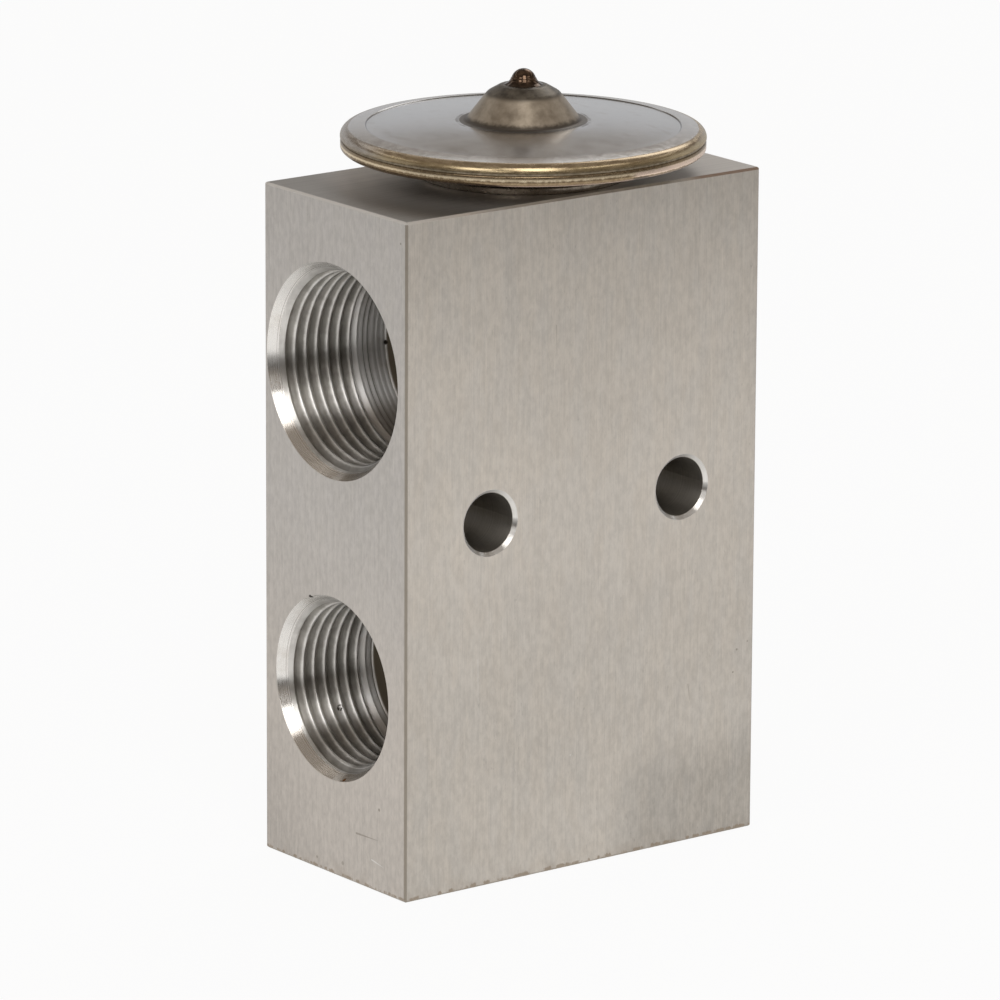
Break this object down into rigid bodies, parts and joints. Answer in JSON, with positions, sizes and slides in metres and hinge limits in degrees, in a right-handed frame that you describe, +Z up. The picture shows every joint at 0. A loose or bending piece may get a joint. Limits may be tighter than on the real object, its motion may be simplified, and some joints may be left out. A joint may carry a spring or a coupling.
{
  "type": "block expansion valve",
  "caption": "Block-type thermostatic expansion valve with threaded ports, through mounting holes and a round welded diaphragm head.",
  "frame": {"origin": "middle of the block's base, where it stands", "axes": "+Z up along the stem axis towards the head, X along the wide front face, -Y out of that front face, -X out of the face with the liquid inlet port"},
  "size_m": [0.0476, 0.0394, 0.0856],
  "materials": {
    "block_aluminium": "bare machined bar with fine upright streaks",
    "tinted_steel": "stainless sheet, straw-coloured near the weld",
    "polished_steel": "polished stainless sheet, straw-coloured at the rim",
    "welded_steel": "heat-browned, glossy",
    "spring_steel": "satin",
    "ground_steel": "ground bright",
    "brass": "turned",
    "turned_aluminium": "turned",
    "black_rubber": "moulded"
  },
  "bodies": {
    "valve": {"valve_body": "block_aluminium", "lower_cover": "tinted_steel", "upper_cover": "polished_steel", "diaphragm": "spring_steel", "charge_plug": "welded_steel", "head_seal": "black_rubber", "rod_seal": "black_rubber", "rod_retainer": "spring_steel", "superheat_spring": "spring_steel"},
    "stem": {"diaphragm_pad": "brass", "sensing_rod": "turned_aluminium", "push_pin": "ground_steel", "valve_ball": "ground_steel", "ball_carrier": "brass", "damper_spring": "spring_steel"},
    "adjuster_carriage": {"screw_seal": "black_rubber"},
    "adjuster": {"adjusting_screw": "brass"}
  },
  "joints": [
    {"name": "stem_travel", "type": "slide", "parent": "valve", "child": "stem", "axis": [0, 0, -1], "range_m": [0, 0.0008], "stiffness_N_per_m": 6000, "springref_m": -0.004, "deforming": ["superheat_spring", "diaphragm"]},
    {"name": "adjuster_travel", "type": "slide", "parent": "valve", "child": "adjuster_carriage", "axis": [0, 0, 1], "range_m": [0, 0.002], "deforming": ["superheat_spring"]},
    {"name": "adjuster_turn", "type": "hinge", "parent": "adjuster_carriage", "child": "adjuster", "pos_m": [0.0013, 0, 0.005], "axis": [0, 0, 1], "range_deg": [0, 720]}
  ],
  "couplings": [
    {"joint": "adjuster_travel", "follows": "adjuster_turn", "m_per_rad": 0.00015915}
  ]
}
